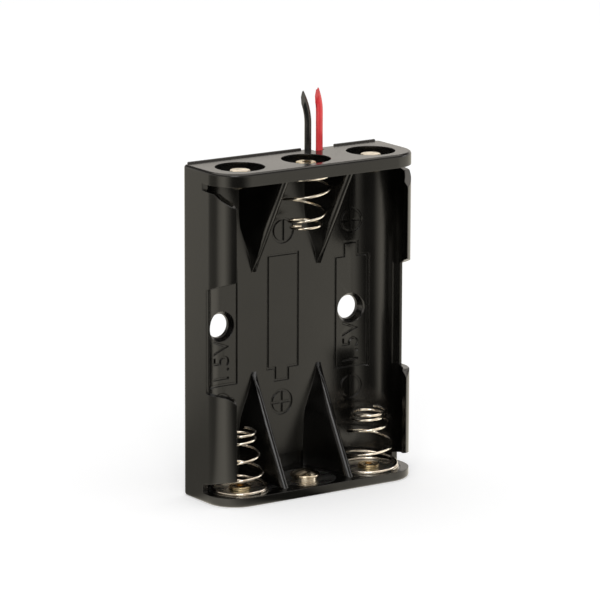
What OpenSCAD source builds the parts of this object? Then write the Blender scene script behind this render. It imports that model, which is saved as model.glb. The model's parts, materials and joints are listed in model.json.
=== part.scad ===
// Open holder for three AAA cells side by side, with conical springs, domed contacts and two leads.
// It stands on its short bottom wall with its open front towards -Y.

/* [Case] */
// Height of the case, over both end walls
case_h = 52; // [51:0.25:54]
// Depth of the case, from the curled front to the flat back
case_d = 12.2; // [12:0.1:13]
// Distance between the axes of neighbouring cells
cell_pitch = 12.1; // [11.9:0.05:12.6]
// Radius of the bay that a cell lies in
bay_r = 5.3; // [5.2:0.05:5.4]
// Thickness of the side walls at the cell axes
side_wall = 0.9; // [0.8:0.05:1.2]
// Thickness of the floor behind the cells
floor_t = 1.4; // [1.35:0.05:1.7]
// Thickness of the top wall
top_wall = 2.05; // [1.9:0.05:2.4]
// Thickness of the bottom wall
bottom_wall = 1.45; // [1.3:0.05:1.8]
// Outer radius of the curl along both front edges
curl_r = 4.9; // [4.6:0.1:5.1]
// Radius of the two back corners
back_corner_r = 1; // [0.95:0.05:1.4]
// Rounding of the outer edges at both ends
edge_r = 0.45; // [0.3:0.05:0.5]
// How far each side wall curls over the front
tab_lip = 2.5; // [2:0.1:2.9]

/* [Finger cut-outs] */
// Depth from the front down to the lowered part of the side walls
lowered_depth = 5.45; // [5:0.05:6]
// Height of the top edge of the lower tabs
lower_tab_z = 17.3; // [15:0.1:19]
// Rounding of the free corner of the lower tabs
tab_corner_r = 2; // [1:0.1:3]
// Height of the bottom edge of the upper tabs, where it meets the lowered wall
upper_tab_z = 33.5; // [31:0.1:36]
// Rise of that edge towards the front
upper_tab_rise = 2; // [1:0.1:3]
// Height of the slits that part the tabs from the end walls
slit_h = 1.05; // [0.9:0.05:1.3]
// Depth from the front to the blind end of the slits
slit_depth = 6.5; // [6:0.1:7]
// Width of the flat edge left on the lowered walls, which are bevelled inside
lowered_edge = 0.4; // [0.3:0.05:0.6]

/* [Ribs] */
// Height above the bottom at which the two lower ribs run out in the floor
lower_rib_z = 18.1; // [16:0.1:20]
// Height above the bottom at which the two upper ribs run out in the floor
upper_rib_z = 33.9; // [32:0.1:36]
// Depth from the front to the ridge of a rib at the end wall
ridge_depth = 1.5; // [1.2:0.05:2]
// Width of the ridge
ridge_w = 0.9; // [0.8:0.05:1]
// Width of a full rib at its foot on the floor
rib_foot = 6.6; // [5:0.1:8]
// Length over which a rib widens from its tip
rib_growth = 9; // [7:0.5:12]
// Wall left between a bay and the hollow behind a rib
hollow_wall = 1; // [0.9:0.05:1.2]

/* [Holes] */
// Diameter of the round holes in the end walls
end_hole_d = 7.7; // [7.3:0.1:8.1]
// Diameter of the screw holes at the back
screw_d = 3.75; // [3.2:0.05:4]
// Diameter of their countersinks at the floor
sink_d = 4.8; // [4.4:0.05:5.4]
// Depth of the countersinks
sink_depth = 0.8; // [0.6:0.05:0.9]
// Height of the screw holes above the bottom
screw_z = 26.05; // [24:0.05:28]

/* [Rim] */
// Height of the bead along the top of the back edge
bead_h = 0.28; // [0.2:0.02:0.35]
// Thickness of the bead
bead_t = 0.55; // [0.5:0.01:0.6]
// Width of the gap in the bead where the leads come out
bead_gap = 6.4; // [6:0.1:7]

/* [Contacts] */
// Thickness of the contact plates
plate_t = 0.25; // [0.2:0.01:0.3]
// Radius of the round pads of the contact plates
pad_r = 4.9; // [4.85:0.01:4.95]
// Width of the strips that join two pads
strip_w = 5; // [4:0.1:6]
// Width of the solder tabs
tab_w = 2; // [1.6:0.1:2.2]
// Radius of the domed buttons
button_r = 2.35; // [2:0.05:2.5]
// Height of the buttons above their plate
button_h = 1.5; // [1.2:0.05:1.7]
// Radius of the crowns of the eyelets inside the springs
eyelet_r = 1.7; // [1.5:0.05:1.8]
// Height of those crowns above their plate
eyelet_h = 0.6; // [0.5:0.05:0.8]
// Radius of the shanks of buttons and eyelets
shank_r = 0.9; // [0.8:0.02:1]
// Radius of the rolled tails in the end wall holes
tail_r = 1.6; // [1.4:0.05:1.8]

/* [Springs] */
// Diameter of the spring wire
wire_d = 0.42; // [0.35:0.01:0.45]

/* [Leads] */
// Diameter of the leads over their insulation
lead_d = 1.1; // [1:0.02:1.12]
// Diameter of the bare conductor
core_d = 0.5; // [0.4:0.02:0.6]
// Length of the leads above the top wall
lead_rise = 9.4; // [8.5:0.1:10]
// Rise of the slanted cut across the end of a lead
cut_rise = 2; // [1.5:0.1:2.5]

/* [Hidden] */
$fn = 96;
cut = 1;                          // how far a cutter runs past a face
clear = 0.05;                     // clearance round plates and leads
half_w = cell_pitch + bay_r + side_wall;
front_y = -case_d / 2;
back_y = case_d / 2;
floor_y = back_y - floor_t;
cell_y = floor_y - bay_r;
roof_z = case_h - top_wall;       // underside of the top wall
mouth_half = half_w - tab_lip;    // half width of the open front
side_cut_x = half_w - curl_r + 1; // the side cutters start here, clear of the ribs
rib_x = cell_pitch / 2;
waist = cell_pitch / 2 - bay_r;   // half width of a rib at the cell axes
rib_top = case_d - floor_t - ridge_depth;    // height of a rib over the floor at its end wall
foot_h = 0.03;                    // height at which a rib's flank leaves the floor
sunk = 0.4;                       // depth to which a rib is sunk in the floor
flank_steps = 10;
growth_steps = 5;
bevel_run = 1.2;                  // depth over which the lowered walls are bevelled
spring_gap = 0.02;                // between the end turn and its plate
seat_depth = plate_t + clear;     // depth of a plate's seat in its end wall
hole_slip = 0.02;                 // clearance of a shank in its plate
low_tail = 0.7;                   // height of the rolled tails in the bottom wall
high_tail = 1.3;                  // the same in the top wall
solder_r = 0.75;
lug_inset = 0.3;                  // the solder tabs end this far inside the back face
strip_back = 1.2;                 // length of bare conductor
lead_r = lead_d / 2;
channel_r = lead_r + clear;
run_in_y = back_y - lead_r - clear;          // leads laid just under the back face
run_deep_y = run_in_y - lead_d - clear;      // the red lead passes in front of the black one
red_z = roof_z + seat_depth + lead_r;
black_z = bottom_wall - clear + lead_r;
black_exit_x = rib_x - 1.55;
red_exit_x = rib_x - 0.2;
exit_z = case_h + lead_rise;
red_bend_z = case_h + 6;          // the free ends are straight up to here
black_bend_z = case_h + 4;
red_drift = 0.75;                 // and lean this far to the left at their tips
black_drift = 1.38;
shift_low = roof_z - 7;           // the black lead moves sideways between these heights
shift_high = roof_z - 1;
bend_r = 1.3;
bend_ease = bend_r / 3;           // room for the inside of a bend where two channels meet

// Height and radius of each spring's wire where a turn passes the open front side,
// from the plate to the tip
turns_left = [[0.23, 4.25], [2.2, 3.7], [4.9, 3.1], [7.7, 2.4], [8.9, 2.35], [9.45, 2.35]];
turns_middle = [[0.6, 3.8], [3.4, 3.65], [7.25, 2.8], [8.3, 2.3], [9.05, 2.3], [9.5, 2.3]];
turns_right = [[0.25, 4.55], [3, 3.9], [6.8, 3.2], [8.3, 2.5], [8.95, 2.4], [9.6, 2.4]];
wire_end = 0.55;                  // part of the last turn that is left off
front_angle = 235.8;              // the side of a spring that a turn is counted at
wire_sides = 8;
turn_steps = 14;

// Value of a smooth curve through the list of numbers v at the position t
function curve(v, t) =
    let (last = len(v) - 1,
         i = max(0, min(last - 1, floor(t))),
         f = t - i,
         a = v[max(0, i - 1)], b = v[i], c = v[i + 1], d = v[min(last, i + 2)])
    b + f * ((c - a) / 2 + f * (a - 2.5 * b + 2 * c - d / 2 + f * (1.5 * (b - c) + (d - a) / 2)));

// Faces of a tube of n sides through m rings, with flat ends
function tube_faces(n, m) = concat(
    [[for (i = [0:n - 1]) i]],
    [for (k = [0:m - 2], i = [0:n - 1])
        let (j = (i + 1) % n)
        [k * n + i, (k + 1) * n + i, (k + 1) * n + j, k * n + j]],
    [[for (i = [n - 1:-1:0]) (m - 1) * n + i]]);

// Faces split into triangles
function split_faces(faces) =
    [for (f = faces, i = [1:len(f) - 2]) [f[0], f[i + 1], f[i]]];

// A path in the XZ plane with its inner corners rounded to arcs of radius r
function rounded(path, r) = concat(
    [path[0]],
    [for (i = [1:len(path) - 2])
        let (u = unit(path[i - 1] - path[i]),
             w = unit(path[i + 1] - path[i]),
             half = acos(u * w) / 2,
             reach = r / tan(half),
             centre = path[i] + unit(u + w) * r / sin(half),
             turn = 90 - half,
             away = -unit(u + w),
             side = cross(u, w) > 0 ? -1 : 1)
        for (k = [-3:3])
            let (a = turn * k / 3 * side)
            centre + r * [away[0] * cos(a) - away[1] * sin(a), away[0] * sin(a) + away[1] * cos(a)]],
    [path[len(path) - 1]]);

function unit(v) = v / norm(v);

// A round lead along a path in the XZ plane at the depth y, its last ring cut at a slant
module lead(path, y, d, slant = 0) {
    n = 8;
    m = len(path);
    rings = [for (k = [0:m - 1])
        let (t = unit(path[min(m - 1, k + 1)] - path[max(0, k - 1)]))
        for (i = [0:n - 1])
            let (a = 360 * (i + 0.5) / n,
                 across = cos(a) * d / 2,
                 lift = k == m - 1 ? slant * (across / d - 0.5) : 0)
            [path[k][0] + t[1] * across + t[0] * lift,
             y - sin(a) * d / 2,
             path[k][1] - t[0] * across + t[1] * lift]];
    polyhedron(points = rings, faces = split_faces(tube_faces(n, m)));
}

// A round post as tall as the case, with rounded rims
module corner_post(r) {
    rotate_extrude() {
        square([r - edge_r, case_h]);
        translate([0, edge_r]) square([r, case_h - 2 * edge_r]);
        for (z = [edge_r, case_h - edge_r]) translate([r - edge_r, z]) circle(r = edge_r);
    }
}

// Upright section from a to b that is rounded at the top and the bottom of its b side
module half_section(a, b) {
    square_from(a, 0, b - edge_r, case_h);
    square_from(a, edge_r, b, case_h - edge_r);
    for (z = [edge_r, case_h - edge_r]) translate([b - edge_r, z]) circle(r = edge_r);
}

module square_from(x0, y0, x1, y1) {
    translate([x0, y0]) square([x1 - x0, y1 - y0]);
}

// Extrudes a section drawn in Y and Z along X, from -reach to reach
module along_x(reach) {
    rotate([90, 0, 90]) translate([0, 0, -reach]) linear_extrude(2 * reach) children();
}

// The whole case as a block, with curled front edges
module block() {
    for (side = [-1, 1]) {
        translate([side * (half_w - curl_r), front_y + curl_r, 0]) corner_post(curl_r);
        translate([side * (half_w - back_corner_r), back_y - back_corner_r, 0]) corner_post(back_corner_r);
    }
    along_x(half_w - curl_r) {
        half_section(0, back_y);
        mirror([1, 0]) half_section(0, -front_y);
    }
    along_x(half_w - back_corner_r) half_section(front_y + curl_r, back_y);
    translate([0, back_y - back_corner_r, 0]) rotate([90, 0, 0])
        linear_extrude(case_d - curl_r - back_corner_r) {
            half_section(0, half_w);
            mirror([1, 0]) half_section(0, half_w);
        }
}

// The three bays, open at the front
module bays() {
    translate([0, 0, bottom_wall]) linear_extrude(roof_z - bottom_wall) {
        for (side = [-1, 1]) translate([side * cell_pitch, cell_y]) circle(r = bay_r);
        square_from(-cell_pitch, cell_y, cell_pitch, floor_y);
        square_from(-mouth_half, front_y - cut, mouth_half, cell_y);
    }
}

// Cutter in both side walls, from a section drawn with depth across and height up
module side_cut() {
    for (side = [0, 1]) mirror([side, 0, 0]) translate([side_cut_x, front_y, 0]) rotate([90, 0, 90])
        linear_extrude(half_w - side_cut_x + cut) children();
}

// The low stretch of the side walls, where fingers reach the cells
module finger_cut() {
    side_cut() {
        polygon([[-cut, lower_tab_z], [lowered_depth, lower_tab_z], [lowered_depth, upper_tab_z],
                 [-cut, upper_tab_z + upper_tab_rise * (1 + cut / lowered_depth)]]);
        difference() {
            square_from(-cut, lower_tab_z - tab_corner_r, tab_corner_r + edge_r, lower_tab_z + edge_r);
            translate([tab_corner_r + edge_r, lower_tab_z - tab_corner_r]) circle(r = tab_corner_r);
        }
    }
}

// Bevel along the inside of the lowered walls
module wall_bevel() {
    x = half_w - lowered_edge;
    y = front_y + lowered_depth;
    inner_x = half_w - side_wall;
    for (side = [0, 1]) mirror([side, 0, 0]) translate([0, 0, lower_tab_z])
        linear_extrude(upper_tab_z - lower_tab_z)
            polygon([[x, y - cut], [x, y], [inner_x, y + bevel_run], [inner_x - cut, y + bevel_run],
                     [inner_x - cut, y - cut]]);
}

// The slits between the tabs and the end walls, wider towards the front
module slits() {
    side_cut() {
        polygon([[-cut, roof_z], [slit_depth, roof_z], [slit_depth, roof_z - slit_h],
                 [slit_depth * 0.55, roof_z - 1.2 * slit_h], [0, roof_z - 3.6 * slit_h],
                 [-cut, roof_z - 3.6 * slit_h]]);
        polygon([[-cut, bottom_wall], [slit_depth, bottom_wall], [slit_depth, bottom_wall + 1.3 * slit_h],
                 [slit_depth * 0.55, bottom_wall + 1.9 * slit_h], [0, bottom_wall + 2.7 * slit_h],
                 [-cut, bottom_wall + 2.7 * slit_h]]);
    }
}

// Half width of a full rib at the height h above the floor
function flank(h) =
    h < bay_r ? waist + (rib_foot / 2 - waist) * (1 - sqrt(1 - pow(1 - h / bay_r, 2)))
              : waist + (ridge_w / 2 - waist) * (h - bay_r) / (rib_top - bay_r);

// Share of its full width that a rib has at the distance s from its tip
function grown(s) = let (t = min(1, s / rib_growth)) t * t * (3 - 2 * t);

// A wedge rib: over the length run its ridge rises in a straight line from the floor to the
// full height at the end wall, and its foot widens from the tip
module rib(run) {
    e = ridge_w / 2;
    n = flank_steps + 1;
    profile = concat([[flank(foot_h), sunk]], [for (k = [0:flank_steps])
        let (h = foot_h + (rib_top - foot_h) * pow(k / flank_steps, 1.6)) [flank(h), -h]]);
    stations = concat([for (k = [1:growth_steps]) rib_growth * k / growth_steps], [run]);
    rings = [for (s = stations, side = [1, -1], p = profile)
        [side * (e + (p[0] - e) * grown(s)), p[1] > 0 ? p[1] : p[1] * s / run, s]];
    r0 = 4;
    l0 = r0 + n + 1;
    ring = 2 * (n + 1);
    end = growth_steps * ring;
    polyhedron(
        points = concat([[-e, 0, 0], [e, 0, 0], [-e, sunk, 0], [e, sunk, 0]], rings),
        faces = split_faces(concat(
            [[2, 3, 1, 0], [0, 1, r0 + n, l0 + n], [3, 2, l0, r0],
             [1, 3, r0, r0 + 1], [2, 0, l0 + 1, l0]],
            [for (k = [1:flank_steps]) [1, r0 + k, r0 + k + 1]],
            [for (k = [1:flank_steps]) [0, l0 + k + 1, l0 + k]],
            [for (i = [0:ring:end - 1]) each rib_span(r0 + i, l0 + i, ring, n)],
            [for (k = [0:flank_steps]) [r0 + end + k, l0 + end + k, l0 + end + k + 1, r0 + end + k + 1]])));
}

// Faces between two rings of a rib, whose right and left sides start at the points r and l
function rib_span(r, l, ring, n) = concat(
    [[l + n, r + n, r + ring + n, l + ring + n], [r, l, l + ring, r + ring]],
    [for (k = [0:n - 1]) [r + k + 1, r + k, r + ring + k, r + ring + k + 1]],
    [for (k = [0:n - 1]) [l + k, l + k + 1, l + ring + k + 1, l + ring + k]]);

// The hollow behind a rib, a wedge that opens at the back
module rib_hollow(run) {
    wide = flank(hollow_wall) - hollow_wall / 2;
    tip_h = 1.8;
    tip = ridge_w / 2;
    lead_in = 2.5;
    points = [[-tip, floor_t + cut, lead_in], [tip, floor_t + cut, lead_in],
              [-tip, floor_t, lead_in], [tip, floor_t, lead_in],
              [-wide, floor_t + cut, run], [wide, floor_t + cut, run],
              [-wide, 0, run], [wide, 0, run], [-tip, -tip_h, run], [tip, -tip_h, run]];
    polyhedron(points = points, faces = split_faces([
        [0, 1, 3, 2], [4, 6, 8, 9, 7, 5], [0, 4, 5, 1], [2, 3, 9, 8],
        [1, 5, 7, 3], [0, 2, 6, 4], [3, 7, 9], [2, 8, 6]]));
}

// Places a wedge of the given kind at all four rib positions
module at_ribs() {
    for (side = [-1, 1]) {
        translate([side * rib_x, floor_y, upper_rib_z]) children(0);
        translate([side * rib_x, floor_y, lower_rib_z]) mirror([0, 0, 1]) children(1);
    }
}

// Plan of a contact plate: pads on the given cells (-1, 0, 1), a strip between them, and a
// solder tab to the back where tab is true
module plate_plan(cells, tab, grow = 0) {
    for (c = cells) translate([c * cell_pitch, cell_y]) circle(r = pad_r + grow);
    first = cells[0] * cell_pitch;
    last = cells[len(cells) - 1] * cell_pitch;
    if (len(cells) > 1)
        square_from(first, cell_y - strip_w / 2 - grow, last, cell_y + strip_w / 2 + grow);
    if (tab)
        square_from(first - tab_w / 2 - grow, cell_y, first + tab_w / 2 + grow, back_y - lug_inset + grow);
}

// Seats for the plates, let into the end walls
module plate_seats() {
    translate([0, 0, bottom_wall - seat_depth]) linear_extrude(seat_depth) {
        plate_plan([-1, 0], false, clear);
        plate_plan([1], true, clear);
    }
    translate([0, 0, roof_z]) linear_extrude(seat_depth) {
        plate_plan([0, 1], false, clear);
        plate_plan([-1], true, clear);
    }
}

module end_holes() {
    for (c = [-1:1]) translate([c * cell_pitch, cell_y, -cut]) cylinder(d = end_hole_d, h = case_h + 2 * cut);
}

// Countersunk screw holes through the floor of the outer bays
module screw_holes() {
    for (side = [-1, 1]) translate([side * cell_pitch, floor_y, screw_z]) rotate([-90, 0, 0]) {
        cylinder(d = screw_d, h = floor_t + cut);
        cylinder(d1 = sink_d, d2 = screw_d, h = sink_depth);
        translate([0, 0, -bay_r / 2]) cylinder(d = sink_d, h = bay_r / 2);
    }
}

// Recess in the floor below the middle button
module button_recess() {
    translate([-3.2, floor_y - cut, bottom_wall]) cube([6.4, cut + floor_t / 2, 2.75]);
}

// Wells for the solder joints and channels for the leads, all open at the back
module lead_ways() {
    well = tab_w / 2 + clear;
    back_box(-cell_pitch - well, -cell_pitch + strip_back + clear, roof_z + clear, red_z + channel_r,
             run_deep_y - solder_r - clear);
    back_box(-cell_pitch, red_exit_x + channel_r, red_z - channel_r, red_z + channel_r,
             run_deep_y - channel_r);
    back_box(red_exit_x - channel_r - bend_ease, red_exit_x + channel_r, red_z - channel_r, case_h + cut,
             run_deep_y - channel_r);
    back_box(cell_pitch - strip_back - clear, cell_pitch + well, bottom_wall - seat_depth,
             black_z + channel_r, run_in_y - channel_r);
    back_box(rib_x - channel_r, cell_pitch, black_z - channel_r, black_z + channel_r, run_in_y - channel_r);
    back_box(rib_x - channel_r, rib_x + channel_r, black_z, shift_low + 1, run_in_y - channel_r);
    back_box(black_exit_x - channel_r, red_exit_x, shift_high, case_h + cut, run_in_y - channel_r);
    translate([0, back_y + cut, 0]) rotate([90, 0, 0]) linear_extrude(back_y + cut - run_in_y + channel_r)
        polygon([[rib_x - channel_r, shift_low - 1], [rib_x + channel_r, shift_low - 1],
                 [rib_x + channel_r, shift_low + 1], [black_exit_x + channel_r, shift_high + 1],
                 [black_exit_x - channel_r, shift_high + 1], [black_exit_x - channel_r, shift_high - 1]]);
}

// A box from the depth y to past the back face
module back_box(x0, x1, z0, z1, y) {
    translate([x0, y, z0]) cube([x1 - x0, back_y - y + cut, z1 - z0]);
}

// The bead on the back edge, with a gap where the leads come out
module rim_bead() {
    gap_x = rib_x + 0.45;
    end_x = half_w - back_corner_r;
    for (span = [[-end_x, gap_x - bead_gap / 2], [gap_x + bead_gap / 2, end_x]])
        translate([span[0], 0, 0]) rotate([90, 0, 90]) linear_extrude(span[1] - span[0]) {
            square_from(back_y - bead_t, case_h - edge_r, back_y, case_h);
            difference() {
                translate([back_y - bead_t / 2, case_h]) circle(d = bead_t);
                square_from(back_y - bead_t, case_h + bead_h, back_y, case_h + bead_t);
            }
        }
}

module case() {
    color([0.13, 0.13, 0.13]) difference() {
        union() {
            difference() {
                block();
                bays();
                finger_cut();
                wall_bevel();
                slits();
            }
            at_ribs() {
                rib(roof_z - upper_rib_z);
                rib(lower_rib_z - bottom_wall);
            }
            rim_bead();
        }
        at_ribs() {
            rib_hollow(roof_z - upper_rib_z);
            rib_hollow(lower_rib_z - bottom_wall);
        }
        plate_seats();
        end_holes();
        screw_holes();
        button_recess();
        lead_ways();
    }
}

// A contact plate on the bottom wall, with holes for the shanks
module lower_plate(cells, tab) {
    translate([0, 0, bottom_wall - seat_depth]) punched_plate(cells, tab);
}

// A contact plate under the top wall
module upper_plate(cells, tab) {
    translate([0, 0, roof_z + clear]) punched_plate(cells, tab);
}

module punched_plate(cells, tab) {
    color([0.8, 0.8, 0.78]) linear_extrude(plate_t) difference() {
        plate_plan(cells, tab);
        for (c = cells) translate([c * cell_pitch, cell_y]) circle(r = shank_r + hole_slip);
    }
}

// Puts a contact, drawn with its plate's inner face at z = 0, on cell c of the bottom wall
module on_bottom(c) {
    translate([c * cell_pitch, cell_y, bottom_wall - clear]) children();
}

// The same, hanging from the top wall
module on_top(c) {
    translate([c * cell_pitch, cell_y, roof_z + clear]) rotate([0, 180, 0]) children();
}

// Shank through the plate with its rolled tail in the end wall hole
module tail_section(tail) {
    roll = low_tail / 2;
    square_from(0, -plate_t, shank_r, 0);
    square_from(0, -plate_t - tail, tail_r - roll / 2, -plate_t);
    square_from(0, -plate_t - tail + roll / 2, tail_r, -plate_t - roll / 2);
    for (z = [-plate_t - roll / 2, -plate_t - tail + roll / 2])
        translate([tail_r - roll / 2, z]) circle(d = roll);
}

// A domed button with a raised brim
module button(tail) {
    lift = 0.3 * button_h;
    brim = 0.25 * button_h;
    dome_r = button_r - brim;
    low = lift + brim;
    rise = button_h - low;
    ball = (dome_r * dome_r + rise * rise) / (2 * rise);
    color([0.85, 0.82, 0.72]) rotate_extrude() {
        tail_section(tail);
        square_from(0, 0, dome_r, low);
        square_from(0, lift, button_r - brim / 2, low);
        translate([button_r - brim / 2, lift + brim / 2]) circle(d = brim);
        intersection() {
            translate([0, button_h - ball]) circle(r = ball);
            square_from(0, low, dome_r, button_h);
        }
    }
}

// A hollow eyelet with a rolled crown
module eyelet(tail) {
    bore = shank_r - 0.3;
    roll = eyelet_h / 4;
    color([0.8, 0.68, 0.45]) rotate_extrude() difference() {
        union() {
            tail_section(tail);
            square_from(0, 0, eyelet_r - roll, eyelet_h - roll);
            for (z = [roll, eyelet_h - roll]) translate([eyelet_r - roll, z]) circle(r = roll);
            square_from(0, roll, eyelet_r, eyelet_h - roll);
            square_from(0, eyelet_h - roll, eyelet_r - roll, eyelet_h);
            square_from(0, 0, eyelet_r - roll, roll);
        }
        square_from(0, -plate_t - tail, bore, eyelet_h + cut);
    }
}

// A conical spring that stands on z = 0, with a first turn that lies flat
module spring(turns, angle) {
    first = -0.85;
    last = len(turns) - 1 - wire_end;
    steps = ceil((last - first) * turn_steps);
    radii = [for (p = turns) p[1]];
    heights = [for (p = turns) p[0]];
    low = wire_d / 2 + spring_gap;
    centres = [for (k = [0:steps])
        let (t = first + (last - first) * k / steps, a = angle + 360 * t,
             r = curve(radii, max(t, 0)), z = max(low, curve(heights, max(t, 0))))
        [r * cos(a), r * sin(a), t < 0 ? low + (z - low) * pow(1 + t / -first, 2) : z]];
    rings = [for (k = [0:steps])
        let (t = unit(centres[min(steps, k + 1)] - centres[max(0, k - 1)]),
             out = unit([centres[k][0], centres[k][1], 0]),
             up = cross(t, out))
        for (i = [0:wire_sides - 1])
            centres[k] + wire_d / 2 * (cos(360 * i / wire_sides) * out - sin(360 * i / wire_sides) * up)];
    color([0.82, 0.8, 0.76])
        polyhedron(points = rings, faces = split_faces(tube_faces(wire_sides, steps + 1)));
}

module spring_left() { on_bottom(-1) spring(turns_left, front_angle); }
module spring_middle() { on_top(0) spring(turns_middle, 180 - front_angle); }
module spring_right() { on_bottom(1) spring(turns_right, front_angle); }
module eyelet_left() { on_bottom(-1) eyelet(low_tail); }
module eyelet_middle() { on_top(0) eyelet(high_tail); }
module eyelet_right() { on_bottom(1) eyelet(low_tail); }
module button_left() { on_top(-1) button(high_tail); }
module button_middle() { on_bottom(0) button(low_tail); }
module button_right() { on_top(1) button(high_tail); }
module link_lower() { lower_plate([-1, 0], false); }
module link_upper() { upper_plate([0, 1], false); }
module terminal_plus() { upper_plate([-1], true); }
module terminal_minus() { lower_plate([1], true); }

// The free end of a lead, which leans to the left from the height z0 up to z1; its last
// stretch is straight and takes the slanted cut
function free_end(x, drift, z0, z1) =
    let (bent = 1 - (cut_rise + 0.2) / (z1 - z0))
    [for (t = concat([for (k = [1:4]) bent * k / 4], [1])) [x - drift * t * t, z0 + (z1 - z0) * t]];

// Red lead: from the plus tab along the top wall and out through the gap in the rim
red_path = concat(
    rounded([[strip_back - cell_pitch, red_z], [red_exit_x, red_z], [red_exit_x, red_bend_z]], bend_r),
    free_end(red_exit_x, red_drift, red_bend_z, exit_z + 0.2));
// Black lead: from the minus tab up behind the right-hand ribs and out beside the red one
black_path = concat(
    rounded([[cell_pitch - strip_back, black_z], [rib_x, black_z], [rib_x, shift_low],
             [black_exit_x, shift_high], [black_exit_x, black_bend_z]], bend_r),
    free_end(black_exit_x, black_drift, black_bend_z, exit_z - 0.35));

module lead_red() { color([0.85, 0.12, 0.14]) lead(red_path, run_deep_y, lead_d, cut_rise); }
module lead_black() { color([0.08, 0.08, 0.08]) lead(black_path, run_in_y, lead_d, cut_rise); }

// Bare conductor from the end of the insulation into the solder
module bare_core(x0, x1, y, z) {
    color([0.8, 0.5, 0.3]) translate([x0, y, z]) rotate([0, 90, 0]) cylinder(d = core_d, h = x1 - x0);
}

module core_red() { bare_core(-cell_pitch, strip_back - cell_pitch, run_deep_y, red_z); }
module core_black() { bare_core(cell_pitch - strip_back, cell_pitch, run_in_y, black_z); }

// A drop of solder on a tab
module solder(x, y, z, r) {
    color([0.75, 0.76, 0.78]) translate([x, y, z]) intersection() {
        sphere(r = r);
        translate([-r, -r, 0]) cube(2 * r);
    }
}

module solder_red() { solder(-cell_pitch, run_deep_y, roof_z + seat_depth, solder_r); }
module solder_black() { solder(cell_pitch, run_in_y, bottom_wall - clear, lead_r); }

case();
spring_left();
spring_middle();
spring_right();
eyelet_left();
eyelet_middle();
eyelet_right();
button_left();
button_middle();
button_right();
link_lower();
link_upper();
terminal_plus();
terminal_minus();
lead_red();
lead_black();
core_red();
core_black();
solder_red();
solder_black();
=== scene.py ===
import json
import math
import bpy
from mathutils import Matrix, Vector


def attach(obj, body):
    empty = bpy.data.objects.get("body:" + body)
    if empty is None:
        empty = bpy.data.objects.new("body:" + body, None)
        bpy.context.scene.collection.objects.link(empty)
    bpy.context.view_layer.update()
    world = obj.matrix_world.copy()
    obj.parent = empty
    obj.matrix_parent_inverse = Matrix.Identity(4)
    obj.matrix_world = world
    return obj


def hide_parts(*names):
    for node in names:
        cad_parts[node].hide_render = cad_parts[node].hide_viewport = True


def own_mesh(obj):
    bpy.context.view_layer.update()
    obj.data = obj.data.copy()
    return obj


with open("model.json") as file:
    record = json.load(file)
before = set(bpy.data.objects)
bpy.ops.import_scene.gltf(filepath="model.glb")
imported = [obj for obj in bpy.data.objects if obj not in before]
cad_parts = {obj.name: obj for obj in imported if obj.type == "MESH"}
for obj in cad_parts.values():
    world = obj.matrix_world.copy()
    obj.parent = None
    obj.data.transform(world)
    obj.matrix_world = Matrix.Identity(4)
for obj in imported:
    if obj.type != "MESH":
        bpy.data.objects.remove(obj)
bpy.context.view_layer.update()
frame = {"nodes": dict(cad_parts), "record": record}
nodes = frame["nodes"]
scene = bpy.context.scene
mm = 0.001

# the view

cameraSettings = {
    "azimuth": -34.17,        # degrees, 0 looks along +Y
    "elevation": 12.75,
    "roll": 0.195,
    "distance": 0.679,
    "lens": 263.85,
    "sensor": 36,
    "clip": (0.01, 20),
    "target": (-0.000603, 0.0, 0.029738),
}


def addCamera(settings):
    az = math.radians(settings["azimuth"])
    el = math.radians(settings["elevation"])
    roll = math.radians(settings["roll"])
    back = Vector((math.sin(az) * math.cos(el), -math.cos(az) * math.cos(el), math.sin(el)))
    side = Vector((math.cos(az), math.sin(az), 0))
    rise = back.cross(side)
    right = side * math.cos(roll) + rise * math.sin(roll)
    up = back.cross(right)
    place = Vector(settings["target"]) + back * settings["distance"]
    data = bpy.data.cameras.new("camera")
    data.sensor_width = settings["sensor"]
    data.lens = settings["lens"]
    data.clip_start, data.clip_end = settings["clip"]
    camera = bpy.data.objects.new("camera", data)
    turn = Matrix((right, up, back)).transposed().to_4x4()
    camera.matrix_world = Matrix.Translation(place) @ turn
    scene.collection.objects.link(camera)
    scene.camera = camera


addCamera(cameraSettings)
print("stage: camera")

# materials

class Wire:
    def __init__(self, recipe, socket):
        self.recipe = recipe
        self.socket = socket

    def __add__(self, other):
        return self.recipe.sum("ADD", self, other)

    def __radd__(self, other):
        return self.recipe.sum("ADD", other, self)

    def __sub__(self, other):
        return self.recipe.sum("SUBTRACT", self, other)

    def __rsub__(self, other):
        return self.recipe.sum("SUBTRACT", other, self)

    def __mul__(self, other):
        return self.recipe.sum("MULTIPLY", self, other)

    def __rmul__(self, other):
        return self.recipe.sum("MULTIPLY", other, self)


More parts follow.
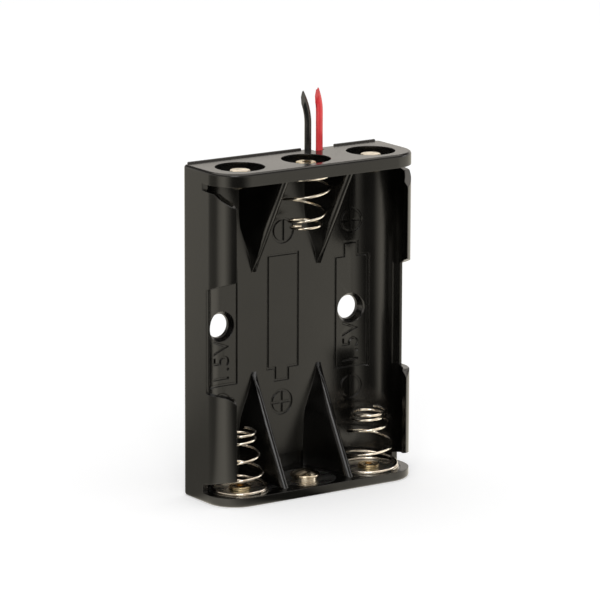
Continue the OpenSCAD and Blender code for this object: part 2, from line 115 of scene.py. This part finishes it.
class Recipe:
    def __init__(self, name):
        self.material = bpy.data.materials.new(name)
        self.material.use_nodes = True
        self.tree = self.material.node_tree
        self.tree.nodes.clear()

    def node(self, kind, settings, inputs, output=0):
        made = self.tree.nodes.new(kind)
        for name, value in settings.items():
            if name == "stops":
                ramp = made.color_ramp.elements
                while len(ramp) > 1:
                    ramp.remove(ramp[-1])
                for index, (place, colour) in enumerate(value):
                    stop = ramp[0] if index == 0 else ramp.new(place)
                    stop.position = place
                    stop.color = (*colour, 1)
            else:
                setattr(made, name, value)
        for key, value in inputs.items():
            socket = made.inputs[key]
            if isinstance(value, Wire):
                self.tree.links.new(value.socket, socket)
            elif value is not None:
                socket.default_value = value
        return Wire(self, made.outputs[output]) if len(made.outputs) else made

    def sum(self, operation, a, b):
        return self.node("ShaderNodeMath", {"operation": operation}, {0: a, 1: b})

    def place(self):
        return self.node("ShaderNodeTexCoord", {}, {}, "Object")

    def noise(self, scale, detail, roughness, vector=None):
        return self.node("ShaderNodeTexNoise", {}, {
            "Vector": vector or self.place(),
            "Scale": scale,
            "Detail": detail,
            "Roughness": roughness,
        })

    def ramp(self, factor, stops):
        return self.node("ShaderNodeValToRGB", {"stops": stops}, {0: factor})

    def bump(self, height, distance, strength, normal=None):
        return self.node("ShaderNodeBump", {}, {
            "Height": height, "Distance": distance, "Strength": strength, "Normal": normal})

    def finish(self, shader):
        self.node("ShaderNodeOutputMaterial", {}, {"Surface": shader})
        return self.material

    def surface(self, inputs):
        return self.finish(self.node("ShaderNodeBsdfPrincipled", {}, inputs))


# noises are given as scale, detail and roughness, and stops as the ends of the colour ramp

plasticFinish = {
    "dark": (0.0011, 0.0010, 0.0008),
    "pale": (0.0030, 0.0027, 0.0022),
    "stops": (0.35, 0.7),
    "flow": (130, 4, 0.55),
    "grain": (2600, 2, 0.6),
    "grainDepth": 0.000006,
    "roughness": 0.21,
    "flowSwing": 0.08,
    "grainSwing": 0.05,
    "edgeRadius": 0.00016,
}


def twoTones(recipe, factor, finish):
    return recipe.ramp(factor, list(zip(finish["stops"], (finish["dark"], finish["pale"]))))


def blackPlastic(finish):
    recipe = Recipe("moulded black plastic")
    flow = recipe.noise(*finish["flow"])
    grain = recipe.noise(*finish["grain"])
    rough = finish["roughness"] + (flow - 0.5) * finish["flowSwing"] + (grain - 0.5) * finish["grainSwing"]
    rounded = recipe.node("ShaderNodeBevel", {"samples": 6}, {"Radius": finish["edgeRadius"]})
    return recipe.surface({
        "Base Color": twoTones(recipe, flow, finish),
        "Roughness": rough,
        "IOR": 1.5,
        "Normal": recipe.bump(grain, finish["grainDepth"], 0.5, rounded),
    })


springFinish = {
    "dark": (0.66, 0.57, 0.47), "pale": (0.96, 0.91, 0.82), "stops": (0.3, 0.62),
    "wear": (900, 3, 0.6), "roughness": 0.12, "swing": 0.12, "bump": (0.000004, 0.5),
}
eyeletFinish = {
    "dark": (0.42, 0.30, 0.14), "pale": (0.80, 0.66, 0.42), "stops": (0.35, 0.6),
    "wear": (700, 4, 0.6), "roughness": 0.2, "swing": 0.2, "bump": (0.000006, 0.4),
}
buttonFinish = {
    "dark": (0.40, 0.31, 0.20), "pale": (0.88, 0.78, 0.62), "stops": (0.35, 0.6),
    "wear": (600, 4, 0.6), "roughness": 0.14, "swing": 0.15, "bump": (0.000005, 0.4),
}
plateFinish = {
    "dark": (0.42, 0.42, 0.41), "pale": (0.75, 0.75, 0.73), "stops": (0.35, 0.65), "stretch": (0.15, 1, 1),
    "wear": (500, 4, 0.6), "roughness": 0.28, "swing": 0.2, "bump": (0.000005, 0.4),
}
copperFinish = {
    "dark": (0.45, 0.20, 0.10), "pale": (0.85, 0.50, 0.32), "stops": (0.35, 0.65),
    "wear": (2200, 3, 0.6), "roughness": 0.3, "swing": 0.2, "bump": (0.00003, 0.6),
}
solderFinish = {
    "dark": (0.42, 0.42, 0.43), "pale": (0.78, 0.78, 0.79), "stops": (0.35, 0.65),
    "wear": (1200, 4, 0.6), "roughness": 0.22, "swing": 0.25, "bump": (0.00002, 0.5),
}


def metal(name, finish):
    recipe = Recipe(name)
    place = recipe.place()
    if "stretch" in finish:
        place = recipe.node("ShaderNodeMapping", {}, {"Vector": place, "Scale": finish["stretch"]})
    worn = recipe.noise(*finish["wear"], place)
    return recipe.surface({
        "Base Color": twoTones(recipe, worn, finish),
        "Metallic": 1.0,
        "Roughness": finish["roughness"] + (worn - 0.5) * finish["swing"],
        "Normal": recipe.bump(worn, *finish["bump"]),
    })


insulationFinish = {
    "stops": (0.35, 0.65),
    "flow": (450, 4, 0.55),
    "grain": (1800, 2, 0.5),
    "bump": (0.000008, 0.5),
    "swing": 0.12,
    "coat": 0.4,
    "coatRoughness": 0.12,
    "red": {"dark": (0.78, 0.030, 0.040), "pale": (0.90, 0.050, 0.060), "roughness": 0.3},
    "black": {"dark": (0.004, 0.004, 0.004), "pale": (0.009, 0.009, 0.0085), "roughness": 0.2},
}


def insulation(colour, settings):
    finish = {**settings, **settings[colour]}
    recipe = Recipe(colour + " insulation")
    flow = recipe.noise(*finish["flow"])
    return recipe.surface({
        "Base Color": twoTones(recipe, flow, finish),
        "Roughness": finish["roughness"] + (flow - 0.5) * finish["swing"],
        "Coat Weight": finish["coat"],
        "Coat Roughness": finish["coatRoughness"],
        "Normal": recipe.bump(recipe.noise(*finish["grain"]), *finish["bump"]),
    })


finishes = {
    "black_plastic": blackPlastic(plasticFinish),
    "spring_wire": metal("nickel plated wire", springFinish),
    "eyelet_brass": metal("plated brass", eyeletFinish),
    "button_metal": metal("pressed button metal", buttonFinish),
    "contact_plate": metal("tinned strip", plateFinish),
    "red_insulation": insulation("red", insulationFinish),
    "black_insulation": insulation("black", insulationFinish),
    "copper_core": metal("bare copper", copperFinish),
    "solder": metal("bright solder", solderFinish),
}
slotOf = {part["node"]: part["material_slot"] for part in frame["record"]["subparts"]}


def dress(piece, slot):
    piece.data.materials.clear()
    piece.data.materials.append(finishes[slot])


for name, node in nodes.items():
    dress(node, slotOf[name])
print("stage: materials")

# sizes that several pieces share, the first four in millimetres

cellPitch = 12.1
cellAxisY = -0.6
bayRadius = 5.3
floorFront = 4.7             # y of the bays' floor

caseSize = {                 # metres
    "floorY": floorFront * mm,
    "cellY": cellAxisY * mm,
    "pitch": cellPitch * mm,
    "bayRadius": bayRadius * mm,
    "lowPlateZ": 1.4 * mm,     # inner faces of the contact plates
    "highPlateZ": 50.0 * mm,
}


def pick(piece):
    bpy.ops.object.select_all(action="DESELECT")
    piece.select_set(True)
    bpy.context.view_layer.objects.active = piece


def mergeDoubles(piece, reach=0.000002, turnOutward=False):
    pick(piece)
    bpy.ops.object.mode_set(mode="EDIT")
    bpy.ops.mesh.select_all(action="SELECT")
    bpy.ops.mesh.remove_doubles(threshold=reach)
    if turnOutward:
        bpy.ops.mesh.normals_make_consistent(inside=False)
    bpy.ops.object.mode_set(mode="OBJECT")


def mergedCopy(node, name):
    made = bpy.data.objects.new(name, nodes[node].data.copy())
    scene.collection.objects.link(made)
    mergeDoubles(made)
    return made


def smooth(piece, degrees):
    pick(piece)
    bpy.ops.object.shade_smooth_by_angle(angle=math.radians(degrees))
    for face in piece.data.polygons:      # faces square to an axis stay flat
        if max(abs(part) for part in face.normal) > 0.99999:
            face.use_smooth = False


def seat(piece, slot, body, replaced):
    dress(piece, slot)
    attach(piece, body)
    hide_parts(replaced)


def tube(name, paths, radius, sides):
    curve = bpy.data.curves.new(name, "CURVE")
    curve.dimensions = "3D"
    curve.bevel_depth = radius
    curve.bevel_resolution = sides
    curve.use_fill_caps = True
    for path in paths:
        line = curve.splines.new("POLY")
        line.points.add(len(path) - 1)
        for point, place in zip(line.points, path):
            point.co = (*place, 1)
    made = bpy.data.objects.new(name, curve)
    scene.collection.objects.link(made)
    pick(made)
    bpy.ops.object.convert(target="MESH")
    bpy.ops.object.mode_set(mode="EDIT")
    bpy.ops.mesh.select_all(action="SELECT")
    bpy.ops.mesh.normals_make_consistent(inside=False)
    bpy.ops.object.mode_set(mode="OBJECT")
    return bpy.context.object


# the case, with steeper ribs and grooves in its floor

grooves = {
    "width": 0.36,               # millimetres down to "proud", then metres
    "circleRadius": 1.85,
    "cutterHalf": 0.5,
    "step": 0.35,
    "outlines": [
        {"x": -0.65, "z": 18.2, "wide": 5.6, "tall": 17.95, "nub": (-0.2, 2.4, -2.0)},
        {"x": -cellPitch, "z": 16.75, "wide": 5.65, "tall": 17.75, "nub": (0, 2.4, 2.1)},
        {"x": cellPitch, "z": 16.75, "wide": 5.65, "tall": 17.75, "nub": (0, 2.4, 2.1)},
    ],
    "signs": [                   # x, z, and whether it is a plus
        (-0.84, 12.6, True), (-0.64, 39.9, False),
        (-cellPitch, 13.4, False), (-cellPitch, 40.1, True),
        (cellPitch, 13.4, False), (cellPitch, 40.1, True),
    ],
    "rating": {"text": "1.5V", "thinner": -0.006, "z": 20.75, "long": 6.3, "tall": 2.9},
    "depth": 0.2 * mm,
    "proud": 0.1 * mm,
    "deeper": 0.0017 * mm,       # from one cutter to the next, so that no two share a floor
}

ribShape = {                     # millimetres, heights above the bays' floor
    "x": 6.05,
    "top": 9.3,
    "tips": [(18.1, -1, 16.65), (33.9, 1, 16.05)],        # height of a tip, way it runs, length
    "growth": 9,
    "solidRidge": 0.45,          # half widths of the solid: ridge, waist and foot
    "solidWaist": 0.75,
    "solidFoot": 3.3,
    "solidEase": 0.03,
    "crest": 0.32,               # half widths wanted here: crest, foot and flank by height
    "foot": 2.75,
    "flank": [(0, 2.75), (1, 2.15), (2, 1.6), (3, 1.15), (4, 0.85), (5.3, 0.68), (9.3, 0.32)],
    "reach": 3.4,                # a rib's vertices lie this near its middle
    "near": 0.03,                # and this near the solid's flank
    "slack": 0.01,
}


def between(table, value):
    for (x0, y0), (x1, y1) in zip(table, table[1:]):
        if value <= x1:
            return y0 + (y1 - y0) * (value - x0) / (x1 - x0)
    return table[-1][1]


def solidHalfWidth(rise, grown, share):
    shape = ribShape
    full = max(rise, shape["solidEase"] * share) / share
    if full < bayRadius:
        bow = 1 - math.sqrt(1 - (1 - full / bayRadius) ** 2)
        wide = shape["solidWaist"] + (shape["solidFoot"] - shape["solidWaist"]) * bow
    else:
        climb = (full - bayRadius) / (shape["top"] - bayRadius)
        wide = shape["solidWaist"] + (shape["solidRidge"] - shape["solidWaist"]) * climb
    return shape["solidRidge"] + (wide - shape["solidRidge"]) * grown


def steepenRibs(case):
    shape = ribShape
    slack = shape["slack"]
    for v in case.data.vertices:
        x, z = v.co.x / mm, v.co.z / mm
        rise = (caseSize["floorY"] - v.co.y) / mm
        offset = abs(x) - shape["x"]
        for tip, way, run in shape["tips"]:
            s = (z - tip) * way
            if not slack < s < run + slack or rise < -0.001 or abs(offset) > shape["reach"]:
                continue
            share = s / run
            t = min(1, s / shape["growth"])
            grown = t * t * (3 - 2 * t)
            high = shape["top"] * share
            fromFlank = abs(abs(offset) - solidHalfWidth(rise, grown, share))
            if rise > high + slack or fromFlank > shape["near"]:
                continue
            foot = shape["crest"] + (shape["foot"] - shape["crest"]) * grown
            if rise < (shape["solidEase"] + 0.003) * share:      # the foot's first ring drops to the floor
                rise = 0
                v.co.y = caseSize["floorY"]
            wide = min(foot + (shape["crest"] - foot) * rise / high, between(shape["flank"], rise))
            v.co.x = math.copysign(shape["x"] + math.copysign(wide, offset), x) * mm
    mergeDoubles(case)


def outlinePath(shape):
    x, low, high = shape["x"], shape["z"], shape["z"] + shape["tall"]
    left, right = x - shape["wide"] / 2, x + shape["wide"] / 2
    nubX, nubWide, nubTall = x + shape["nub"][0], shape["nub"][1], shape["nub"][2]
    a, b = nubX - nubWide / 2, nubX + nubWide / 2
    if nubTall > 0:
        end = high + nubTall
        return [(left, low), (right, low), (right, high), (b, high),
                (b, end), (a, end), (a, high), (left, high)]
    end = low + nubTall
    return [(left, low), (a, low), (a, end), (b, end),
            (b, low), (right, low), (right, high), (left, high)]


def finely(path, closed):
    points = []
    for (x0, z0), (x1, z1) in zip(path, path[1:] + path[:1] * closed):
        count = max(1, round(math.hypot(x1 - x0, z1 - z0) / grooves["step"]))
        points += [(x0 + (x1 - x0) * k / count, z0 + (z1 - z0) * k / count) for k in range(count)]
    return points if closed else points + [path[-1]]


def carver(name, data):
    made = bpy.data.objects.new(name, data)
    scene.collection.objects.link(made)
    pick(made)
    bpy.ops.object.convert(target="MESH")
    return bpy.context.object


def lineCarver(name, path, closed):
    curve = bpy.data.curves.new(name, "CURVE")
    curve.dimensions = "2D"
    curve.fill_mode = "NONE"
    curve.extrude = grooves["cutterHalf"]
    line = curve.splines.new("POLY")
    line.points.add(len(path) - 1)
    line.use_cyclic_u = closed
    for point, (x, z) in zip(line.points, path):
        point.co = (x, z, 0, 1)
    made = carver(name, curve)
    wall = made.modifiers.new("width", "SOLIDIFY")
    wall.thickness = grooves["width"]
    wall.offset = 0
    wall.use_even_offset = True
    bpy.ops.object.modifier_apply(modifier="width")
    return made


def signCarvers(x, z, plus):
    radius = grooves["circleRadius"]
    turns = [k * math.pi / 24 for k in range(48)]
    ring = [(x + radius * math.cos(turn), z + radius * math.sin(turn)) for turn in turns]
    bar = finely([(x, z - radius), (x, z + radius)], False)
    made = [lineCarver("ring", ring, True), lineCarver("bar", bar, False)]
    if plus:
        crossbar = finely([(x - radius, z), (x + radius, z)], False)
        made.append(lineCarver("crossbar", crossbar, False))
    return made


def ratingCarver(name, x):
    rating = grooves["rating"]
    text = bpy.data.curves.new(name, "FONT")
    text.body = rating["text"]
    text.extrude = grooves["cutterHalf"]
    text.offset = rating["thinner"]
    made = carver(name, text)
    xs = [v.co.x for v in made.data.vertices]
    ys = [v.co.y for v in made.data.vertices]
    wide, tall = max(xs) - min(xs), max(ys) - min(ys)
    bpy.ops.object.mode_set(mode="EDIT")
    bpy.ops.mesh.select_all(action="SELECT")
    bpy.ops.mesh.subdivide(number_cuts=1)
    bpy.ops.object.mode_set(mode="OBJECT")
    for v in made.data.vertices:
        along = ((v.co.x - min(xs)) / wide - 0.5) * rating["long"]
        across = ((v.co.y - min(ys)) / tall - 0.5) * rating["tall"]
        v.co = (x - across, rating["z"] + along, v.co.z)
    return made


def onFloor(piece, depth):
    size = caseSize
    for v in piece.data.vertices:
        x, z = v.co.x * mm, v.co.y * mm
        beyond = max(0, abs(x) - size["pitch"])
        rise = size["bayRadius"] - math.sqrt(size["bayRadius"] ** 2 - beyond ** 2)
        y = size["floorY"] - rise + (depth if v.co.z > 0 else -grooves["proud"])
        v.co = (x, y, z)
    mergeDoubles(piece, reach=0.000001, turnOutward=True)


# upright round faces in millimetres: axis x and y, radius, 1 for a bulge or -1 for a hollow
rounds = [
    (cellPitch, cellAxisY, bayRadius, -1), (-cellPitch, cellAxisY, bayRadius, -1),      # bays
    (cellPitch, cellAxisY, 3.85, -1), (0, cellAxisY, 3.85, -1), (-cellPitch, cellAxisY, 3.85, -1),
    (13.4, -1.2, 4.9, 1), (-13.4, -1.2, 4.9, 1),      # curled front edges
    (17.3, 5.1, 1, 1), (-17.3, 5.1, 1, 1),            # back edges
]

normalRules = {
    "screwZ": 26.05,         # millimetres
    "screwReach": 2.42,      # just over the countersink's radius
    "face": 0.9,             # a steeper normal belongs to a wall of the screw hole
    "upright": 0.02,
    "near": 0.03,
    "aligned": 0.98,
}


def screwNormal(place, lean):
    toAxis = (math.copysign(cellPitch, place.x) - place.x, 0, normalRules["screwZ"] - place.z)
    return Vector(toAxis).normalized() * math.sqrt(1 - lean * lean) + Vector((0, lean, 0))


def roundNormal(place, flat):
    for x, y, radius, way in rounds:
        out = Vector((place.x - x, place.y - y, 0))
        near = abs(out.length - radius) < normalRules["near"]
        if near and out.normalized().dot(flat) * way > normalRules["aligned"]:
            return out.normalized() * way
    return Vector((0, 0, 0))


def trueNormals(piece):
    rules = normalRules
    mesh = piece.data
    normals = [Vector((0, 0, 0))] * len(mesh.loops)      # a zero vector keeps the smoothed normal
    for face in mesh.polygons:
        lean = face.normal.y
        middle = Vector((abs(face.center.x / mm) - cellPitch, 0, face.center.z / mm - rules["screwZ"]))
        onScrewWall = abs(lean) < rules["face"] and middle.length < rules["screwReach"]
        if not onScrewWall and abs(face.normal.z) > rules["upright"]:
            continue
        for index in face.loop_indices:
            place = mesh.vertices[mesh.loops[index].vertex_index].co / mm
            normals[index] = screwNormal(place, lean) if onScrewWall else roundNormal(place, face.normal)
    mesh.normals_split_custom_set(normals)


def makeCase():
    case = mergedCopy("case", "case_shell")
    steepenRibs(case)
    carvers = [lineCarver("outline", finely(outlinePath(shape), True), True) for shape in grooves["outlines"]]
    for x, z, plus in grooves["signs"]:
        carvers += signCarvers(x, z, plus)
    carvers += [ratingCarver("rating", x) for x in (-cellPitch, cellPitch)]
    for index, piece in enumerate(carvers):
        onFloor(piece, grooves["depth"] + grooves["deeper"] * index)
        pick(case)
        carve = case.modifiers.new("grooves", "BOOLEAN")
        carve.operation = "DIFFERENCE"
        carve.solver = "EXACT"
        carve.object = piece
        bpy.ops.object.modifier_apply(modifier="grooves")
        bpy.data.objects.remove(piece)
    smooth(case, 32)
    trueNormals(case)
    seat(case, "black_plastic", "holder", "case")


makeCase()
print("stage: case")

# coil springs, wound like the solids but finer

springSettings = {
    "wire": 0.21 * mm,
    "flatTurn": 0.85,        # part of a turn that lies on the plate
    "wireEnd": 0.55,
    "gap": 0.02,             # millimetres from the plate
    "frontAngle": 235.8,
    "steps": 44,             # in one turn
    "travel": 5 * mm,
    # turns are height off the plate and radius in millimetres, one turn apart
    "springs": [
        {"name": "left", "cell": -1, "hangs": False,
         "turns": [(0.23, 4.25), (2.2, 3.7), (4.9, 3.1), (7.7, 2.4), (8.9, 2.35), (9.45, 2.35)]},
        {"name": "middle", "cell": 0, "hangs": True,
         "turns": [(0.6, 3.8), (3.4, 3.65), (7.25, 2.8), (8.5, 2.35), (9.45, 2.35)]},
        {"name": "right", "cell": 1, "hangs": False,
         "turns": [(0.25, 4.55), (3, 3.9), (6.7, 3.3), (8.2, 2.7), (8.9, 2.6), (9.6, 2.6)]},
    ],
}


def along(values, t):
    last = len(values) - 1
    i = max(0, min(last - 1, math.floor(t)))
    f = t - i
    a, b, c, d = values[max(0, i - 1)], values[i], values[i + 1], values[min(last, i + 2)]
    return b + f * ((c - a) / 2 + f * (a - 2.5 * b + 2 * c - d / 2 + f * (1.5 * (b - c) + (d - a) / 2)))


def springPath(spring):
    settings = springSettings
    heights = [turn[0] for turn in spring["turns"]]
    radii = [turn[1] for turn in spring["turns"]]
    low = settings["wire"] / mm + settings["gap"]
    first = -settings["flatTurn"]
    last = len(radii) - 1 - settings["wireEnd"]
    count = math.ceil((last - first) * settings["steps"])
    startAngle = 180 - settings["frontAngle"] if spring["hangs"] else settings["frontAngle"]
    path = []
    for k in range(count + 1):
        t = first + (last - first) * k / count
        angle = math.radians(startAngle + 360 * t)
        radius = along(radii, max(t, 0))
        z = max(low, along(heights, max(t, 0)))
        if t < 0:
            z = low + (z - low) * (1 - t / first) ** 2
        x, y = radius * math.cos(angle), radius * math.sin(angle)
        if spring["hangs"]:
            path.append((-x * mm, caseSize["cellY"] + y * mm, caseSize["highPlateZ"] - z * mm))
        else:
            path.append((spring["cell"] * caseSize["pitch"] + x * mm, caseSize["cellY"] + y * mm,
                         caseSize["lowPlateZ"] + z * mm))
    return path


def windSprings():
    for spring in springSettings["springs"]:
        path = springPath(spring)
        made = tube("coil_" + spring["name"], [path], springSettings["wire"], 4)
        smooth(made, 50)
        seat(made, "spring_wire", spring["name"] + "_spring", "spring_" + spring["name"])
        fixedZ = caseSize["highPlateZ"] if spring["hangs"] else caseSize["lowPlateZ"]
        tipZ = path[-1][2] + (-1 if spring["hangs"] else 1) * springSettings["wire"]
        keep = 1 - springSettings["travel"] / abs(tipZ - fixedZ)
        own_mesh(made)


windSprings()
print("stage: springs")

# leads, in channels in the back of the case, with slanted cuts at their ends

leadSettings = {
    "radius": 0.55 * mm,
    "cutRise": 2 * mm,
    "bend": 1.3,             # millimetres from here on
    "spare": 0.3,
    "steps": 12,
    "red": {"y": 4.35, "drift": 0.75, "leanFrom": 58, "tip": 61.6,
            "route": [(-10.9, 50.8), (5.85, 50.8), (5.85, 58)]},
    "black": {"y": 5.5, "drift": 1.38, "leanFrom": 56, "tip": 61.05,
              "route": [(10.9, 1.95), (6.05, 1.95), (6.05, 42.95), (4.5, 48.95), (4.5, 56)]},
}


def roundCorners(route, radius):
    route = [Vector(point) for point in route]
    path = [route[0]]
    for before, here, after in zip(route, route[1:], route[2:]):
        u, w = (before - here).normalized(), (after - here).normalized()
        half = u.angle(w) / 2
        reach = radius / math.tan(half)
        start, end = here + u * reach, here + w * reach
        centre = here + (u + w).normalized() * radius / math.sin(half)
        a, b = start - centre, end - centre
        span = a.angle(b)
        for k in range(leadSettings["steps"] + 1):
            share = k / leadSettings["steps"]
            turned = (a * math.sin((1 - share) * span) + b * math.sin(share * span)) / math.sin(span)
            path.append(centre + turned)
    return path + [route[-1]]


def makeLead(name):
    lead = leadSettings[name]
    path = roundCorners(lead["route"], leadSettings["bend"])
    x, rise = lead["route"][-1][0], lead["tip"] - lead["leanFrom"]
    for k in range(leadSettings["steps"]):
        t = (k + 1) / leadSettings["steps"]
        path.append(Vector((x - lead["drift"] * t * t, lead["leanFrom"] + rise * t)))
    points = [(p.x * mm, lead["y"] * mm, p.y * mm) for p in path]
    end = Vector(points[-1])
    run = (end - Vector(points[-2])).normalized()
    side = Vector((run.z, 0, -run.x))
    points[-1] = tuple(end + run * leadSettings["spare"] * mm)
    radius = leadSettings["radius"]
    made = tube("lead_%s_wire" % name, [points], radius, 8)
    facing = (run * 2 * radius - side * leadSettings["cutRise"]).normalized()
    pick(made)
    bpy.ops.object.mode_set(mode="EDIT")
    bpy.ops.mesh.select_all(action="SELECT")
    bpy.ops.mesh.bisect(plane_co=end + side * radius, plane_no=facing, use_fill=True, clear_outer=True)
    bpy.ops.object.mode_set(mode="OBJECT")
    smooth(made, 40)
    seat(made, name + "_insulation", "holder", "lead_" + name)


makeLead("red")
makeLead("black")

coreSettings = {                 # millimetres, and x where each core starts and ends
    "strand": 0.085,
    "ring": 0.16,
    "twist": 2.2,
    "steps": 10,
    "red": (-cellPitch, -10.9),
    "black": (10.9, cellPitch),
}


def makeCore(name):
    lay = coreSettings
    x0, x1 = lay[name]
    y, z = leadSettings[name]["y"], leadSettings[name]["route"][0][1]
    paths = [[(x0 * mm, y * mm, z * mm), (x1 * mm, y * mm, z * mm)]]
    for strand in range(6):
        path = []
        for k in range(lay["steps"] + 1):
            t = k / lay["steps"]
            angle = strand * math.pi / 3 + lay["twist"] * t
            path.append(((x0 + (x1 - x0) * t) * mm, (y + lay["ring"] * math.cos(angle)) * mm,
                         (z + lay["ring"] * math.sin(angle)) * mm))
        paths.append(path)
    made = tube("strands_" + name, paths, lay["strand"] * mm, 2)
    smooth(made, 50)
    seat(made, "copper_core", "holder", "core_" + name)


makeCore("red")
makeCore("black")
print("stage: leads")

# contacts, finished from the solids

contactPieces = [                # node, and the angle in degrees under which it is smooth
    ("eyelet_left", 40), ("eyelet_middle", 40), ("eyelet_right", 40),
    ("button_left", 40), ("button_middle", 40), ("button_right", 40),
    ("link_lower", 30), ("link_upper", 30), ("terminal_plus", 30), ("terminal_minus", 30),
    ("solder_red", 50), ("solder_black", 50),
]


def makeContacts():
    for node, degrees in contactPieces:
        made = mergedCopy(node, node + "_pressed")
        smooth(made, degrees)
        seat(made, slotOf[node], "holder", node)


makeContacts()
print("stage: contacts")

# floor and light

stageSettings = {
    "floorSize": 6.0,
    "floorDrop": -0.00002,
    "floorColour": (0.86, 0.86, 0.86),
    "lift": 0.3,
    "tint": (1.0, 0.94, 0.80),
    # how bright the studio looks in a gloss surface, round the holder: 0.5 is in front, more is to the left
    "mirrored": [
        (0.0, 0.7), (0.12, 0.6), (0.3, 1.05), (0.36, 1.25), (0.40, 0.9), (0.43, 0.9),
        (0.5, 0.25), (0.53, 0.06), (0.63, 0.10), (0.675, 0.9), (0.70, 1.5), (0.745, 1.2),
        (0.785, 0.3), (0.87, 0.28), (0.905, 0.75), (1.0, 0.7),
    ],
    "brightest": 1.5,
    # strips that run off to the right: offsets in millimetres, brightness at each
    "slope": 0.677,
    "strips": [(-9, -6, 1.35, 1.0), (1, 5, 1.0, 1.3)],
}


def addFloor(settings):
    bpy.ops.object.select_all(action="DESELECT")
    bpy.ops.mesh.primitive_plane_add(size=settings["floorSize"], location=(0, 0, settings["floorDrop"]))
    floor = bpy.context.object
    floor.name = "floor"
    recipe = Recipe("pale floor")
    camera = recipe.node("ShaderNodeLightPath", {}, {}, "Is Camera Ray")
    clear = recipe.node("ShaderNodeLightPath", {}, {}, "Is Transmission Ray")
    glossy = recipe.node("ShaderNodeLightPath", {}, {}, "Is Glossy Ray")
    matte = recipe.node("ShaderNodeBsdfDiffuse", {}, {"Color": (*settings["floorColour"], 1)})
    glow = recipe.node("ShaderNodeEmission", {}, {
        "Color": (1, 1, 1, 1), "Strength": recipe.sum("MAXIMUM", camera, clear) * settings["lift"]})
    plain = recipe.node("ShaderNodeAddShader", {}, {0: matte, 1: glow})
    # for gloss rays only, the floor glows with a painted reflection of the studio, brighter and darker by
    # bearing round the holder
    place = recipe.place()
    x = recipe.node("ShaderNodeSeparateXYZ", {}, {0: place}, 0)
    y = recipe.node("ShaderNodeSeparateXYZ", {}, {0: place}, 1)
    turned = recipe.node("ShaderNodeCombineXYZ", {}, {0: 0 - y, 1: 0 - x, 2: 0.0})
    bearing = recipe.node("ShaderNodeTexGradient", {"gradient_type": "RADIAL"}, {0: turned}, 1)
    stops = [(where, tuple(value / settings["brightest"] * c for c in settings["tint"]))
             for where, value in settings["mirrored"]]
    unit = 1 / mm
    aside = x * unit + (y * unit - floorFront) * settings["slope"]
    # painted reflection strips, which scale that glow across the floor
    reflectionStrips = 1.0
    for start, end, first, last in settings["strips"]:
        reflectionStrips = reflectionStrips * recipe.node("ShaderNodeMapRange", {}, {
            0: aside, 1: start, 2: end, 3: first, 4: last})
    shown = recipe.node("ShaderNodeVectorMath", {"operation": "SCALE"}, {
        0: recipe.ramp(bearing, stops), "Scale": reflectionStrips})
    seen = recipe.node("ShaderNodeEmission", {}, {"Color": shown, "Strength": settings["brightest"]})
    mixed = recipe.node("ShaderNodeMixShader", {}, {0: glossy, 1: plain, 2: seen})
    floor.data.materials.append(recipe.finish(mixed))


worldSettings = {
    "strength": 0.75,
    "tint": (1.0, 0.94, 0.86),
    # brightness in a gloss surface by height in the sky, 0 at the horizon and 1 overhead
    "mirrored": [
        (0.0, 0.95), (0.25, 1.1), (0.36, 0.5), (0.45, 0.12),
        (0.64, 0.12), (0.74, 1.6), (0.9, 2.4), (1.0, 1.0),
    ],
    "brightest": 2.4,
}


def addWorld(settings):
    world = bpy.data.worlds.new("studio")
    world.use_nodes = True
    scene.world = world
    tree = world.node_tree
    tree.nodes.clear()
    path = tree.nodes.new("ShaderNodeLightPath")
    out = tree.nodes.new("ShaderNodeOutputWorld")
    made = {}
    for name, strength in [("lit", settings["strength"]), ("gloss", settings["brightest"]), ("seen", 1.0)]:
        made[name] = tree.nodes.new("ShaderNodeBackground")
        made[name].inputs["Color"].default_value = (1, 1, 1, 1)
        made[name].inputs["Strength"].default_value = strength
    around = tree.nodes.new("ShaderNodeTexCoord")
    height = tree.nodes.new("ShaderNodeSeparateXYZ")
    sky = tree.nodes.new("ShaderNodeValToRGB")
    for index, (where, value) in enumerate(settings["mirrored"]):
        stop = sky.color_ramp.elements[index] if index < 2 else sky.color_ramp.elements.new(where)
        stop.position = where
        stop.color = (*(value / settings["brightest"] * c for c in settings["tint"]), 1)
    tree.links.new(around.outputs["Generated"], height.inputs[0])
    tree.links.new(height.outputs["Z"], sky.inputs[0])
    tree.links.new(sky.outputs[0], made["gloss"].inputs["Color"])
    inner = tree.nodes.new("ShaderNodeMixShader")
    outer = tree.nodes.new("ShaderNodeMixShader")
    tree.links.new(path.outputs["Is Glossy Ray"], inner.inputs[0])
    tree.links.new(made["lit"].outputs[0], inner.inputs[1])
    tree.links.new(made["gloss"].outputs[0], inner.inputs[2])
    tree.links.new(path.outputs["Is Camera Ray"], outer.inputs[0])
    tree.links.new(inner.outputs[0], outer.inputs[1])
    tree.links.new(made["seen"].outputs[0], outer.inputs[2])
    tree.links.new(outer.outputs[0], out.inputs[0])


lampAim = (0, 0, 0.03)
lampSettings = [
    {"name": "key softbox", "place": (-0.55, -0.75, 0.75), "size": 0.5, "watts": 3.0},
    {"name": "right softbox", "place": (0.95, -0.35, 0.35), "size": 0.4, "watts": 0.8},
]


def addLamps(settings):
    for lamp in settings:
        data = bpy.data.lights.new(lamp["name"], "AREA")
        data.size = lamp["size"]
        data.energy = lamp["watts"]
        made = bpy.data.objects.new(lamp["name"], data)
        made.location = lamp["place"]
        towards = Vector(lampAim) - Vector(lamp["place"])
        made.rotation_euler = towards.to_track_quat("-Z", "Y").to_euler()
        scene.collection.objects.link(made)


addFloor(stageSettings)
addWorld(worldSettings)
addLamps(lampSettings)
scene.view_settings.view_transform = "Standard"
print("stage: floor and light")
